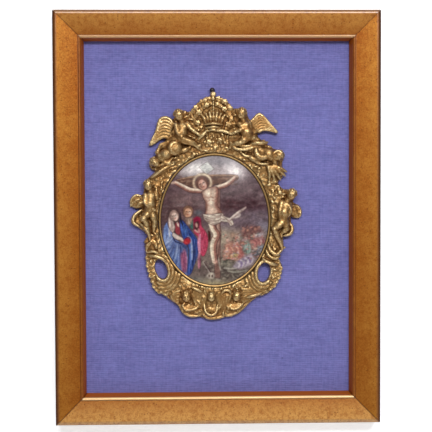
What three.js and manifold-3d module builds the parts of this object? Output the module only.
// A framed enamel plaque: a domed oval enamel in a brass bezel, inside a gilt bronze mount cast with
// angels, putti, a crown and flowers. The mount is pinned on a cloth-faced board in a gilded wood frame.
// The object hangs upright: +Z is up, the front faces -Y, and the origin is the middle of the flat
// back face of the top rail. All sizes are millimetres.
import * as THREE from "three";
import { mergeVertices } from "three/addons/utils/BufferGeometryUtils.js";
import Module from "manifold-3d";

const wasm = await Module();
wasm.setup();

// Driving dimensions of the wood frame.
const FRAME_WIDTH = 260;
const FRAME_HEIGHT = 330;
const FRAME_DEPTH = 24;
const RAIL_FACE = 24; // outer edge to sight edge
const RAIL_BACK = 18.5; // outer edge to the rebate
const REBATE_DEPTH = 10.5; // wall to the back of the lip
const EDGE_ROUND = 2.4;
const MITRE_GAP = 0.15; // kept by each rail at each mitre
const FIT_GAP = 0.3; // between pieces that touch

// The board and its cloth.
const BOARD_CLEARANCE = 0.5; // to each side of the rebate
const BOARD_THICKNESS = 4;
const CLOTH_THICKNESS = 0.6;
const CLOTH_FRONT = REBATE_DEPTH - FIT_GAP;
const BOARD_FRONT = CLOTH_FRONT - CLOTH_THICKNESS - FIT_GAP;

// The oval opening through which the enamel shows, and where its centre lies on the board.
const OVAL_ACROSS = 42.8; // half width
const OVAL_UP = 51.5; // half height
const OVAL_SEGMENTS = 44;
const MOUNT_X = -2.4;
const MOUNT_Y = -2.0;
const MOUNT_BACK = CLOTH_FRONT + FIT_GAP; // height of the mount's flat back above the wall

// The bezel and the enamel, with heights above the mount's flat back.
const BEZEL_WALL = 2.1;
const BEZEL_TOP = 6.6;
const LEDGE_TOP = 3.2;
const ENAMEL_EDGE = 3.5; // back of the enamel at its rim
const ENAMEL_THICKNESS = 1.9;
const DOME_RISE = 5.2;

// The casting.
const PLATE_THICKNESS = 3.2;
const EYE = [-1.5, 103.9]; // the pin's eye, from the oval's centre
const PIN_SHANK = 0.6;
const PIN_HOLE = 0.95;

const vec = (p) => new THREE.Vector3(...p);

function toSolid(geometry) {
  const bare = geometry.clone();
  for (const name of Object.keys(bare.attributes)) {
    if (name !== "position") bare.deleteAttribute(name);
  }
  const merged = mergeVertices(bare, 1e-3);
  const mesh = new wasm.Mesh({
    numProp: 3,
    vertProperties: new Float32Array(merged.attributes.position.array),
    triVerts: new Uint32Array(merged.index.array),
  });
  return new wasm.Manifold(mesh);
}

function toGeometry(solid) {
  const mesh = solid.getMesh();
  const geometry = new THREE.BufferGeometry();
  geometry.setAttribute("position", new THREE.BufferAttribute(mesh.vertProperties, 3));
  geometry.setIndex(new THREE.BufferAttribute(mesh.triVerts, 1));
  geometry.computeVertexNormals();
  return geometry;
}

const joined = (solids) => solids.reduce((all, one) => all.add(one));

// Fills the pockets that joined shapes close in, by keeping only the biggest connected surface. Points are
// first moved to a fine grid, so that a pocket which touches the surface at a point comes loose.
function withoutPockets(solid) {
  const grid = 0.01;
  let kept = solid;
  for (let round = 0; round < 3; round++) {
    const geometry = toGeometry(kept);
    const place = geometry.attributes.position;
    for (let i = 0; i < place.array.length; i++) place.array[i] = Math.round(place.array[i] / grid) * grid;
    const surfaces = toSolid(geometry).decompose();
    kept = surfaces.reduce((best, one) => (one.volume() > best.volume() ? one : best));
  }
  return kept;
}

// A ball stretched to three radii, turned in the front plane.
function ball(centre, radii, turn = 0, sides = 6) {
  const geometry = new THREE.SphereGeometry(1, sides, sides - 2);
  geometry.scale(...radii);
  geometry.rotateZ(turn);
  geometry.translate(...centre);
  return toSolid(geometry);
}

// A round body with round ends, swept through stations [x, y, height, radius].
function chain(stations, sides = 6) {
  const rows = stations.length + 1;
  const geometry = new THREE.SphereGeometry(1, sides, rows);
  const centres = stations.map(([x, y, z]) => vec([x, y, z]));
  const front = new THREE.Vector3(0, 0, 1);
  const frames = centres.map((centre, i) => {
    const before = centres[Math.max(i - 1, 0)];
    const after = centres[Math.min(i + 1, centres.length - 1)];
    const along = after.clone().sub(before).normalize();
    const side = front.clone().cross(along).normalize();
    return { centre, along, side, up: along.clone().cross(side), radius: stations[i][3] };
  });
  const place = geometry.attributes.position;
  const uv = geometry.attributes.uv;
  for (let i = 0; i < place.count; i++) {
    const row = Math.floor(i / (sides + 1));
    const frame = frames[Math.min(Math.max(row - 1, 0), frames.length - 1)];
    const point = frame.centre.clone();
    if (row === 0) point.addScaledVector(frame.along, -0.75 * frame.radius);
    else if (row === rows) point.addScaledVector(frame.along, 0.75 * frame.radius);
    else {
      const angle = 2 * Math.PI * uv.getX(i);
      point.addScaledVector(frame.side, frame.radius * Math.cos(angle));
      point.addScaledVector(frame.up, -frame.radius * Math.sin(angle));
    }
    place.setXYZ(i, point.x, point.y, point.z);
  }
  return toSolid(geometry);
}

// A pleated sheet that stands on the mount's back plane, such as a wing, a shell or a sheaf. Its folds run
// from the near curve to the far curve, where the edge is scalloped.
function pleats({ near, far, folds, rise, scallop }) {
  const geometry = new THREE.BoxGeometry(1, 1, 1, 2 * folds, 1, 1);
  const place = geometry.attributes.position;
  const turned = (b, a, c) => (a.x - b.x) * (c.y - b.y) - (a.y - b.y) * (c.x - b.x);
  const flip = turned(near(0), near(1), far(0)) < 0;
  for (let i = 0; i < place.count; i++) {
    const share = flip ? 0.5 - place.getX(i) : 0.5 + place.getX(i);
    const out = 0.5 + place.getY(i);
    const crest = Math.round(share * 2 * folds) % 2;
    const start = near(share);
    const end = far(share);
    const reach = end.clone().sub(start).setZ(0).normalize().multiplyScalar(crest * scallop);
    const point = start.clone().lerp(end.add(reach), out);
    place.setXYZ(i, point.x, point.y, place.getZ(i) > 0 ? point.z + crest * rise : 0);
  }
  return toSolid(geometry);
}

// A smooth curve through points, as a function of the share of the way along it.
function through(points, from = 0, to = 1) {
  const curve = new THREE.CatmullRomCurve3(points.map(vec));
  return (share) => curve.getPoint(from + (to - from) * share);
}

// An arc round a centre at a height, as a function of the share of the way along it.
function arc(centre, radius, startAngle, endAngle, height) {
  return (share) => {
    const angle = startAngle + (endAngle - startAngle) * share;
    return new THREE.Vector3(centre[0] + radius * Math.cos(angle), centre[1] + radius * Math.sin(angle), height);
  };
}

// A flat plate with a smooth outline through points.
function plate(points, divisions) {
  const curve = new THREE.CatmullRomCurve3(points.map(([x, y]) => new THREE.Vector3(x, y, 0)), true);
  const outline = curve.getPoints(divisions).slice(0, -1).map((p) => new THREE.Vector2(p.x, p.y));
  const geometry = new THREE.ExtrudeGeometry(new THREE.Shape(outline), { depth: PLATE_THICKNESS, bevelEnabled: false });
  return toSolid(geometry);
}

// A ring round an oval with the given half sizes. A section point is [distance out from the oval, height],
// and swell moves every point by [out, up] at an angle.
function ovalRing(section, [halfWidth, halfHeight], segments, swell = () => [0, 0]) {
  const closed = [...section, section[0]].map(([out, height]) => new THREE.Vector2(halfHeight + out, height));
  const geometry = new THREE.LatheGeometry(closed, segments);
  geometry.rotateX(Math.PI / 2);
  const place = geometry.attributes.position;
  for (let i = 0; i < place.count; i++) {
    const angle = Math.atan2(place.getY(i), place.getX(i));
    const out = Math.hypot(place.getX(i), place.getY(i)) - halfHeight;
    const normal = new THREE.Vector2(halfHeight * Math.cos(angle), halfWidth * Math.sin(angle)).normalize();
    const [further, higher] = swell(angle, out);
    place.setXYZ(
      i,
      halfWidth * Math.cos(angle) + (out + further) * normal.x,
      halfHeight * Math.sin(angle) + (out + further) * normal.y,
      place.getZ(i) > 0.01 ? place.getZ(i) + higher : place.getZ(i),
    );
  }
  return geometry;
}

// A flower head or a round fruit of the foliage.
function blossom(centre, radius) {
  const geometry = new THREE.SphereGeometry(1, 6, 3);
  geometry.rotateX(Math.PI / 2);
  geometry.scale(radius, radius, 0.8 * radius);
  geometry.translate(...centre);
  return toSolid(geometry);
}

// A bird's wing with its feathers fanned down from the leading edge.
function wing({ root, apex, tip, heel, feathers }) {
  return pleats({
    near: through([root, apex, tip], 0, 0.92),
    far: through([heel, tip]),
    folds: feathers,
    rise: 1.1,
    scallop: 1.8,
  });
}

// A child's figure. Every radius follows from the head's, and each joint is [x, y, height].
function child({ size, head, chest, hips, arms, legs, wings }) {
  const between = (from, to, share, forward = 0) =>
    from.map((value, i) => value + (to[i] - value) * share + (i === 2 ? forward * size : 0));
  const crownOfHead = between(chest, head, 1.0 + (0.62 * size) / vec(chest).distanceTo(vec(head)));
  const body = [
    [...hips, size * 1.0],
    [...between(hips, chest, 0.45, 0.14), size * 1.04],
    [...chest, size * 0.98],
    [...between(chest, head, 0.52, -0.1), size * 0.52],
    [...between(chest, head, 0.84), size * 0.88],
    [...between(chest, head, 1.04, 0.04), size * 1.02],
    [...crownOfHead, size * 0.72],
  ];
  const parts = [chain(body, 7)];
  const armRadii = [0.5, 0.42, 0.34];
  const legRadii = [0.8, 0.62, 0.38];
  for (const joints of arms) parts.push(chain(joints.map((joint, i) => [...joint, size * armRadii[i]]), 5));
  for (const joints of legs) parts.push(chain(joints.map((joint, i) => [...joint, size * legRadii[i]]), 6));
  for (const one of wings) parts.push(wing(one));
  return parts;
}

const CROWN_ANGEL_LEFT = {
  size: 4.6,
  head: [-27.4, 83.3, 8.6],
  chest: [-26.8, 74.6, 7.0],
  hips: [-29.5, 65.4, 6.5],
  arms: [
    [[-30.8, 77.0, 8.4], [-28.0, 69.2, 10.6], [-20.5, 67.0, 9.2]],
    [[-22.9, 77.0, 7.6], [-17.8, 73.2, 8.6], [-12.2, 77.0, 8.4]],
  ],
  legs: [
    [[-28.5, 63.9, 7.4], [-19.5, 64.3, 8.8], [-9.5, 57.8, 6.4]],
  ],
  wings: [{ root: [-32.5, 77.5, 6.0], apex: [-39.8, 81.8, 6.2], tip: [-52.0, 60.4, 4.2], heel: [-36.5, 66.5, 4.2], feathers: 6 }],
};

const CROWN_ANGEL_RIGHT = {
  size: 4.5,
  head: [21.9, 85.0, 8.8],
  chest: [25.0, 76.0, 7.2],
  hips: [28.5, 66.8, 6.6],
  arms: [
    [[27.8, 78.6, 8.6], [22.6, 73.8, 10.6], [15.5, 69.5, 9.0]],
    [[20.8, 78.2, 7.4], [15.8, 75.2, 8.2], [9.5, 78.0, 8.4]],
  ],
  legs: [
    [[27.5, 65.3, 7.6], [19.5, 62.6, 9.0], [11.0, 58.4, 6.4]],
  ],
  wings: [{ root: [29.5, 79.0, 6.0], apex: [35.8, 83.2, 6.2], tip: [51.6, 70.3, 4.4], heel: [34.6, 67.5, 4.4], feathers: 6 }],
};

const RECLINING_CHILD_LEFT = {
  size: 4.3,
  head: [-47.8, 45.8, 7.4],
  chest: [-41.5, 48.8, 6.8],
  hips: [-32.0, 54.0, 7.6],
  arms: [
    [[-41.0, 45.4, 6.8], [-36.8, 43.0, 7.8], [-31.5, 45.0, 6.8]],
  ],
  legs: [
    [[-30.5, 53.5, 7.8], [-23.6, 52.6, 8.4], [-17.6, 56.6, 6.0]],
    [[-32.5, 57.0, 6.4], [-38.5, 57.6, 6.2], [-43.4, 54.8, 4.8]],
  ],
  wings: [],
};

const RECLINING_CHILD_RIGHT = {
  size: 4.8,
  head: [51.7, 51.3, 8.0],
  chest: [45.5, 50.0, 7.0],
  hips: [38.6, 54.4, 7.8],
  arms: [
    [[48.0, 46.8, 7.4], [50.0, 41.2, 7.2], [44.5, 38.8, 6.2]],
  ],
  legs: [
    [[37.5, 52.5, 7.8], [31.0, 49.6, 8.2], [26.4, 54.2, 6.0]],
    [[36.0, 56.5, 7.0], [30.5, 58.6, 7.0], [23.5, 56.6, 5.4]],
  ],
  wings: [],
};

const SEATED_CHILD_LEFT = {
  size: 4.0,
  head: [-52.6, 28.6, 8.0],
  chest: [-51.6, 19.8, 7.0],
  hips: [-54.0, 8.2, 7.0],
  arms: [
    [[-55.2, 22.4, 7.8], [-55.0, 14.2, 10.2], [-47.4, 7.6, 8.2]],
    [[-48.4, 21.6, 6.6], [-46.4, 17.9, 6.9], [-47.2, 24.4, 6.3]],
  ],
  legs: [
    [[-54.5, 6.5, 7.4], [-57.2, 1.0, 9.2], [-51.5, -13.6, 6.2]],
    [[-51.2, 6.2, 6.6], [-48.9, -1.0, 7.0], [-49.6, -9.8, 5.6]],
  ],
  wings: [{ root: [-55.8, 20.0, 5.4], apex: [-61.6, 21.2, 5.2], tip: [-67.4, 12.6, 4.0], heel: [-57.8, 10.6, 4.2], feathers: 4 }],
};

const SEATED_CHILD_RIGHT = {
  size: 4.7,
  head: [62.6, 19.8, 8.2],
  chest: [56.6, 10.8, 7.0],
  hips: [54.4, 0.6, 7.0],
  arms: [
    [[53.6, 14.6, 8.0], [50.4, 18.4, 8.4], [48.8, 24.2, 6.8]],
    [[59.4, 12.4, 7.0], [60.6, 5.6, 8.2], [56.4, 1.6, 9.6]],
  ],
  legs: [
    [[53.2, -0.8, 7.8], [46.9, -8.2, 9.0], [55.6, -22.4, 6.2]],
    [[56.2, -1.6, 6.8], [57.6, -9.0, 7.2], [52.2, -14.2, 6.0]],
  ],
  wings: [{ root: [60.4, 11.2, 5.2], apex: [66.8, 12.2, 5.0], tip: [70.2, 4.2, 4.0], heel: [63.6, 1.6, 4.0], feathers: 4 }],
};

const FIGURES = [
  CROWN_ANGEL_LEFT,
  CROWN_ANGEL_RIGHT,
  RECLINING_CHILD_LEFT,
  RECLINING_CHILD_RIGHT,
  SEATED_CHILD_LEFT,
  SEATED_CHILD_RIGHT,
];

// The two oval openings below. Their tops lean outwards.
const OPENINGS = [
  { side: -1, centre: [-43.6, -38.6], radii: [4.4, 7.7], turn: 0.47 },
  { side: 1, centre: [39.5, -42.0], radii: [4.9, 7.9], turn: -0.33 },
];

// The three winged cherubs' heads below: centre and size.
const CHERUBS = [
  { head: [-21.6, -61.9, 6.8], size: 4.7 },
  { head: [-2.5, -60.9, 6.8], size: 3.9 },
  { head: [16.6, -59.6, 6.8], size: 4.4 },
];

function backPlates() {
  const crestOutline = [
    [-44, 38], [-50.5, 44], [-47, 55], [-38, 62.5], [-36.5, 72], [-31, 82], [-20, 86], [-12, 92.5], [-4, 98.5], [2, 98.5],
    [10, 92], [18, 87.5], [28, 84], [34, 74], [40, 64.5], [49, 58], [53, 49], [50, 38], [20, 30], [-20, 30],
  ];
  const leftOutline = [
    [-42, 40], [-50.5, 37], [-53, 31], [-57, 26], [-60, 12], [-64.5, 1], [-62, -6], [-57, -10], [-55.5, -20], [-54, -30],
    [-50, -44], [-46.5, -54], [-38, -60], [-28, -58], [-38, -34], [-45, -10],
  ];
  const rightOutline = [
    [46, 42], [55, 35], [55, 26], [62, 22], [63, 12], [61, 0], [63.5, -8], [57.5, -16], [56, -34], [52.5, -44],
    [46, -53.5], [38, -59], [28, -58], [36, -36], [45, -8],
  ];
  const ringSection = [[2.4, 0], [9.8, 0], [9.8, 2.4], [8.2, 3.8], [4.6, 5.4], [2.4, 5.0]];
  return [
    plate(crestOutline, 36),
    plate(leftOutline, 30),
    plate(rightOutline, 30),
    toSolid(ovalRing(ringSection, [OVAL_ACROSS, OVAL_UP], OVAL_SEGMENTS)),
  ];
}

// The crown: two curved bands, a fan of leaf points and a column of beads above.
function crown() {
  const [x, y] = [-1.4, 76];
  const band = (halfWidth, rise, height) =>
    through([[x - halfWidth, y + rise - 1.8, height - 2.6], [x, y + rise, height], [x + halfWidth, y + rise - 1.8, height - 2.6]]);
  const bars = [[0.9, 1.3], [-2.4, 1.2]].map(([rise, radius]) => {
    const line = band(8.4, rise, 9.4);
    return chain([0, 0.25, 0.5, 0.75, 1].map((share) => [...line(share).toArray(), radius]), 5);
  });
  const points = pleats({ near: band(7.4, 0, 7.4), far: band(11.2, 9.0, 7.6), folds: 7, rise: 1.5, scallop: 2.4 });
  return [...bars, points, ball([x, y + 13.6, 6.4], [1.6, 3.4, 2.0])];
}

// The heap of flowers round the crown, the bud on top and the eye for the pin.
function crest() {
  const parts = [];
  const rows = [
    { y: 96.6, xs: [-5.6, 3.6] },
    { y: 91.8, xs: [-11.0, -6.2, 4.4, 9.0] },
    { y: 86.8, xs: [-17.4, -12.4, 11.4, 16.0] },
    { y: 81.2, xs: [-20.4, -15.2, 13.6] },
    { y: 75.4, xs: [-12.8] },
  ];
  for (const { y, xs } of rows) {
    xs.forEach((x, i) => parts.push(blossom([x, y, 3.8], 2.7 + 0.4 * (i % 2))));
  }
  parts.push(ball([-0.9, 99.6, 5.0], [2.6, 3.8, 2.6]));
  const eye = new THREE.CylinderGeometry(2.0, 2.1, 2.0, 10);
  eye.rotateX(Math.PI / 2);
  eye.translate(EYE[0], EYE[1], 1.0);
  parts.push(toSolid(eye));
  return parts;
}

// A long pointed leaf with a pleated blade.
function leaf(from, to, width) {
  const start = vec(from);
  const along = vec(to).sub(start);
  const side = new THREE.Vector3(-along.y, along.x, 0).normalize().multiplyScalar(width);
  const edge = (sign) => through([
    start.toArray(),
    start.clone().addScaledVector(along, 0.5).addScaledVector(side, sign).toArray(),
    start.clone().add(along).addScaledVector(side, 0.15 * sign).toArray(),
  ], 0.06, 1);
  return pleats({ near: edge(-1), far: edge(1), folds: 3, rise: 1.2, scallop: 0 });
}

// A ribbon or a fold of cloth as a round bar through points.
function fold(points, radius, stations = 5) {
  const line = through(points);
  const taper = (share) => radius * (1 - 0.35 * Math.abs(2 * share - 1));
  const places = Array.from({ length: stations }, (_, i) => i / (stations - 1));
  return chain(places.map((share) => [...line(share).toArray(), taper(share)]), 5);
}

// Ribbons under the crown, cloth round the children and the leaves below them.
function ribbonsAndLeaves() {
  return [
    fold([[-5.4, 71.2, 6.4], [-9.6, 67.0, 6.8], [-14.2, 63.4, 5.8]], 1.6, 3),
    fold([[-0.6, 71.2, 6.4], [6.6, 70.8, 6.8], [14.2, 68.4, 6.0]], 1.5, 3),
    fold([[13.6, 61.6, 4.6], [17.8, 56.8, 5.4], [24.6, 55.4, 5.8], [33.0, 58.6, 6.0], [41.0, 62.0, 4.8]], 1.9, 6),
    fold([[-8.6, 57.0, 5.0], [-15.6, 59.2, 5.6], [-22.4, 60.4, 6.0]], 1.6, 3),
    leaf([-31.0, 42.8, 5.8], [-52.6, 32.8, 4.6], 2.6),
    leaf([40.0, 44.0, 5.8], [58.0, 34.8, 4.6], 3.4),
    fold([[-57.6, 7.0, 4.2], [-63.6, 3.4, 3.4], [-64.2, -1.6, 3.2], [-60.4, -6.4, 3.8], [-54.4, -9.6, 4.4]], 2.6, 6),
    fold([[58.4, -1.6, 4.2], [62.4, -6.6, 3.4], [61.0, -12.4, 3.4], [55.6, -15.2, 4.2]], 2.7, 5),
  ];
}

// Sheaves at both sides, the ridged rims of the openings with their beaded garlands, and corner flowers.
function lowerSides() {
  const sheaves = [
    { top: [-57.0, -13.4], bottom: [-55.4, -28.2], across: 13.0 },
    { top: [57.6, -15.4], bottom: [57.2, -34.4], across: -12.6 },
  ].map(({ top, bottom, across }) => {
    const edge = (shift, height) => through([[top[0] + shift, top[1], height], [bottom[0] + shift, bottom[1], height]]);
    return pleats({ near: edge(across, 4.6), far: edge(0, 3.6), folds: 4, rise: 1.8, scallop: 1.2 });
  });
  const rimSection = [[0, 0], [6.2, 0], [6.2, 3.4], [4.8, 5.4], [3.2, 4.2], [1.6, 6.2], [0, 4.2]];
  const beads = 11;
  const rims = OPENINGS.map(({ side, centre, radii, turn }) => {
    const swell = (angle, out) => {
      const outwards = out > 4 ? Math.max(0, side * Math.cos(angle)) : 0;
      const bead = Math.cos(beads * angle) * outwards;
      return [bead * 0.9, bead * 0.9];
    };
    const rim = ovalRing(rimSection, radii, beads * 2, swell);
    rim.rotateZ(turn);
    rim.translate(...centre, 0);
    return toSolid(rim);
  });
  const corners = [
    [-49.4, -51.6, 2.9], [-46.2, -56.2, 2.7], [-39.6, -58.4, 3.1], [-33.6, -61.4, 2.8],
    [49.0, -52.0, 2.9], [45.2, -55.2, 2.7], [40.4, -58.2, 3.1], [33.6, -60.6, 3.0],
  ].map(([x, y, radius]) => blossom([x, y, 3.2], radius));
  return [...sheaves, ...rims, ...corners];
}

// The fluted apron with its three lobes, and a winged cherub's head over each.
function apron() {
  const rim = through([
    [-37.0, -60.5, 3.0], [-30.0, -67.0, 3.0], [-26.2, -74.0, 3.0], [-19.0, -78.0, 3.0], [-11.4, -77.0, 3.0],
    [-2.4, -79.6, 3.0], [7.0, -78.0, 3.0], [15.6, -75.4, 3.0], [22.6, -70.6, 3.0], [27.4, -64.6, 3.0], [36.0, -60.0, 3.0],
  ]);
  const start = -Math.PI / 2;
  const inner = (share) => {
    const angle = start + (share - 0.5) * 1.32;
    return new THREE.Vector3((OVAL_ACROSS + 6) * Math.cos(angle) * 0.97, (OVAL_UP + 6) * Math.sin(angle), 4.6);
  };
  const parts = [pleats({ near: inner, far: rim, folds: 13, rise: 1.5, scallop: 1.0 })];
  for (const { head, size } of CHERUBS) {
    parts.push(ball(head, [size * 0.97, size, size * 0.97], 0, 7));
    for (const side of [-1, 1]) {
      const tip = (rise, reach) => [head[0] + side * reach * size, head[1] + rise * size, 5.0];
      parts.push(pleats({
        near: through([tip(0.4, 0.7), tip(-1.3, 0.4)]),
        far: through([tip(0.9, 1.5), tip(-1.7, 1.2)]),
        folds: 2,
        rise: 1.0,
        scallop: 0.9,
      }));
    }
  }
  return parts;
}

// Small flowers between the figures, on the ring round the oval: the angle and the distance out.
function ringFlowers() {
  const places = [
    [0.20, 7.4], [0.40, 6.6], [0.58, 6.8], [1.22, 6.2], [1.40, 5.8], [1.62, 6.6], [1.84, 6.0],
    [2.56, 6.0], [2.86, 5.6], [3.28, 5.6], [5.66, 5.8],
  ];
  return places.map(([angle, out], i) => {
    const place = [(OVAL_ACROSS + out) * Math.cos(angle), (OVAL_UP + out) * Math.sin(angle), 4.6];
    return blossom(place, 2.1 + 0.3 * (i % 2));
  });
}

// The mount as cast: everything joined, then cut flat at the back and open at the oval and the openings.
function bronzeMount() {
  const cast = joined([
    ...backPlates(),
    ...FIGURES.flatMap(child),
    ...crown(),
    ...crest(),
    ...ribbonsAndLeaves(),
    ...lowerSides(),
    ...apron(),
    ...ringFlowers(),
  ]);
  const behind = new THREE.BoxGeometry(400, 400, 40);
  behind.translate(0, 0, -20);
  const oval = new THREE.CylinderGeometry(1, 1, 60, OVAL_SEGMENTS);
  oval.rotateX(Math.PI / 2);
  const clear = BEZEL_WALL + FIT_GAP;
  oval.scale(OVAL_ACROSS + clear, OVAL_UP + clear, 1);
  let trimmed = cast.subtract(toSolid(behind)).subtract(toSolid(oval));
  for (const { centre, radii, turn } of OPENINGS) {
    const hole = new THREE.CylinderGeometry(1, 1, 60, 22);
    hole.rotateX(Math.PI / 2);
    hole.scale(radii[0], radii[1], 1);
    hole.rotateZ(turn);
    hole.translate(...centre, 0);
    trimmed = trimmed.subtract(toSolid(hole));
  }
  return toGeometry(withoutPockets(trimmed.subtract(pinHole(60))));
}

// A round hole for the pin, through the given depth.
function pinHole(depth) {
  const hole = new THREE.CylinderGeometry(PIN_HOLE, PIN_HOLE, depth, 8);
  hole.rotateX(Math.PI / 2);
  hole.translate(...EYE, 0);
  return toSolid(hole);
}

// The bezel: a wall, a ledge that the enamel's rim rests on, and a lip rubbed over its front edge.
function plaqueBezel() {
  const section = [
    [-0.3, 0.3], [BEZEL_WALL, 0.3], [BEZEL_WALL, BEZEL_TOP - 0.7], [0.9, BEZEL_TOP], [0, BEZEL_TOP - 0.8],
    [1.1, BEZEL_TOP - 0.9], [1.1, LEDGE_TOP], [-0.3, LEDGE_TOP],
  ];
  return ovalRing(section, [OVAL_ACROSS, OVAL_UP], OVAL_SEGMENTS);
}

// The enamel: an oval shell of even thickness, domed to the front.
function enamelPlaque() {
  const rimOut = 0.8;
  const domeHeight = (share) => DOME_RISE * (1 - share * share);
  const backShares = [0, 0.6, 1];
  const frontShares = [1, 0.82, 0.58, 0.3, 0];
  const profile = [
    ...backShares.map((share) => new THREE.Vector2(share, ENAMEL_EDGE + domeHeight(share))),
    ...frontShares.map((share) => new THREE.Vector2(share, ENAMEL_EDGE + ENAMEL_THICKNESS + domeHeight(share))),
  ];
  const geometry = new THREE.LatheGeometry(profile, OVAL_SEGMENTS);
  geometry.rotateX(Math.PI / 2);
  geometry.scale(OVAL_ACROSS + rimOut, OVAL_UP + rimOut, 1);
  return geometry;
}

// The pin: a low domed head in front of the eye and a shank into the board.
function mountPin() {
  const headRadius = 2.1;
  const headBack = 2.3;
  const shankEnd = -5.5;
  const profile = [
    [0, shankEnd - 0.8], [PIN_SHANK, shankEnd], [PIN_SHANK, headBack], [headRadius, headBack],
    [headRadius, headBack + 0.3], [headRadius * 0.75, headBack + 0.9], [0, headBack + 1.2],
  ].map(([out, height]) => new THREE.Vector2(out, height));
  const geometry = new THREE.LatheGeometry(profile, 10);
  geometry.rotateX(Math.PI / 2);
  geometry.translate(...EYE, 0);
  return geometry;
}

// The moulding's section: [distance in from the outer edge, height above the wall].
function mouldingSection() {
  const beadStart = RAIL_FACE - 3.8;
  const beadEnd = RAIL_FACE - 1.6;
  const faceInner = FRAME_DEPTH - 2.2;
  const section = new THREE.Shape();
  section.moveTo(0, 0);
  section.lineTo(0, FRAME_DEPTH - EDGE_ROUND);
  section.absarc(EDGE_ROUND, FRAME_DEPTH - EDGE_ROUND, EDGE_ROUND, Math.PI, Math.PI / 2, true);
  section.quadraticCurveTo(RAIL_FACE * 0.45, FRAME_DEPTH - 1.2, beadStart, faceInner);
  section.absarc((beadStart + beadEnd) / 2, faceInner, (beadEnd - beadStart) / 2, Math.PI, 0, true);
  section.lineTo(RAIL_FACE, REBATE_DEPTH + 1.4);
  section.lineTo(RAIL_FACE, REBATE_DEPTH);
  section.lineTo(RAIL_BACK, REBATE_DEPTH);
  section.lineTo(RAIL_BACK, 0);
  section.closePath();
  return section;
}

// One mitred rail along the bottom edge of a frame whose half size across the rail is given.
function frameRail(length, halfAcross) {
  const geometry = new THREE.ExtrudeGeometry(mouldingSection(), { depth: length, bevelEnabled: false, curveSegments: 4 });
  const place = geometry.attributes.position;
  for (let i = 0; i < place.count; i++) {
    const inward = place.getX(i);
    const height = place.getY(i);
    const cut = inward + MITRE_GAP;
    const along = place.getZ(i) < length / 2 ? cut : length - cut;
    place.setXYZ(i, along - length / 2, inward - halfAcross, height);
  }
  geometry.computeVertexNormals();
  return geometry;
}

function boardPanel(front, thickness) {
  const width = FRAME_WIDTH - 2 * (RAIL_BACK + BOARD_CLEARANCE);
  const height = FRAME_HEIGHT - 2 * (RAIL_BACK + BOARD_CLEARANCE);
  const panel = new THREE.BoxGeometry(width, height, thickness);
  panel.translate(0, 0, front - thickness / 2);
  const hole = pinHole(60).translate([MOUNT_X, MOUNT_Y, 0]);
  return toGeometry(toSolid(panel).subtract(hole));
}

const GILDED_WOOD = { color: 0xa66a2c, roughness: 0.42, metalness: 0.25 };
const GILT_BRONZE = { color: 0xb08a48, roughness: 0.36, metalness: 0.9 };
const BRASS = { color: 0xb9975a, roughness: 0.3, metalness: 0.9 };
const ENAMEL = { color: 0x6a545c, roughness: 0.12, metalness: 0 };
const CLOTH = { color: 0x6f69ab, roughness: 0.85, metalness: 0 };
const BOARD = { color: 0x8d7a62, roughness: 0.9, metalness: 0 };
const DARK_STEEL = { color: 0x2a2526, roughness: 0.5, metalness: 0.8 };

const picture = new THREE.Group();
picture.rotation.x = Math.PI / 2;
picture.position.z = -(FRAME_HEIGHT / 2 - RAIL_BACK / 2);

function addMesh(parent, name, geometry, look) {
  const mesh = new THREE.Mesh(geometry, new THREE.MeshStandardMaterial(look));
  mesh.name = name;
  parent.add(mesh);
  return mesh;
}

const RAILS = [
  ["frame_rail_bottom", FRAME_WIDTH, FRAME_HEIGHT, 0],
  ["frame_rail_right", FRAME_HEIGHT, FRAME_WIDTH, 1],
  ["frame_rail_top", FRAME_WIDTH, FRAME_HEIGHT, 2],
  ["frame_rail_left", FRAME_HEIGHT, FRAME_WIDTH, 3],
];
for (const [name, length, across, quarterTurns] of RAILS) {
  const rail = addMesh(picture, name, frameRail(length, across / 2), GILDED_WOOD);
  rail.rotation.z = (quarterTurns * Math.PI) / 2;
}
addMesh(picture, "backing_board", boardPanel(BOARD_FRONT, BOARD_THICKNESS), BOARD);
addMesh(picture, "cloth_facing", boardPanel(CLOTH_FRONT, CLOTH_THICKNESS), CLOTH);

const mount = new THREE.Group();
mount.position.set(MOUNT_X, MOUNT_Y, MOUNT_BACK);
picture.add(mount);
addMesh(mount, "bronze_mount", bronzeMount(), GILT_BRONZE);
addMesh(mount, "plaque_bezel", plaqueBezel(), BRASS);
addMesh(mount, "enamel_plaque", enamelPlaque(), ENAMEL);
addMesh(mount, "mount_pin", mountPin(), DARK_STEEL);

const framedPlaque = new THREE.Group();
framedPlaque.add(picture);

export default framedPlaque;
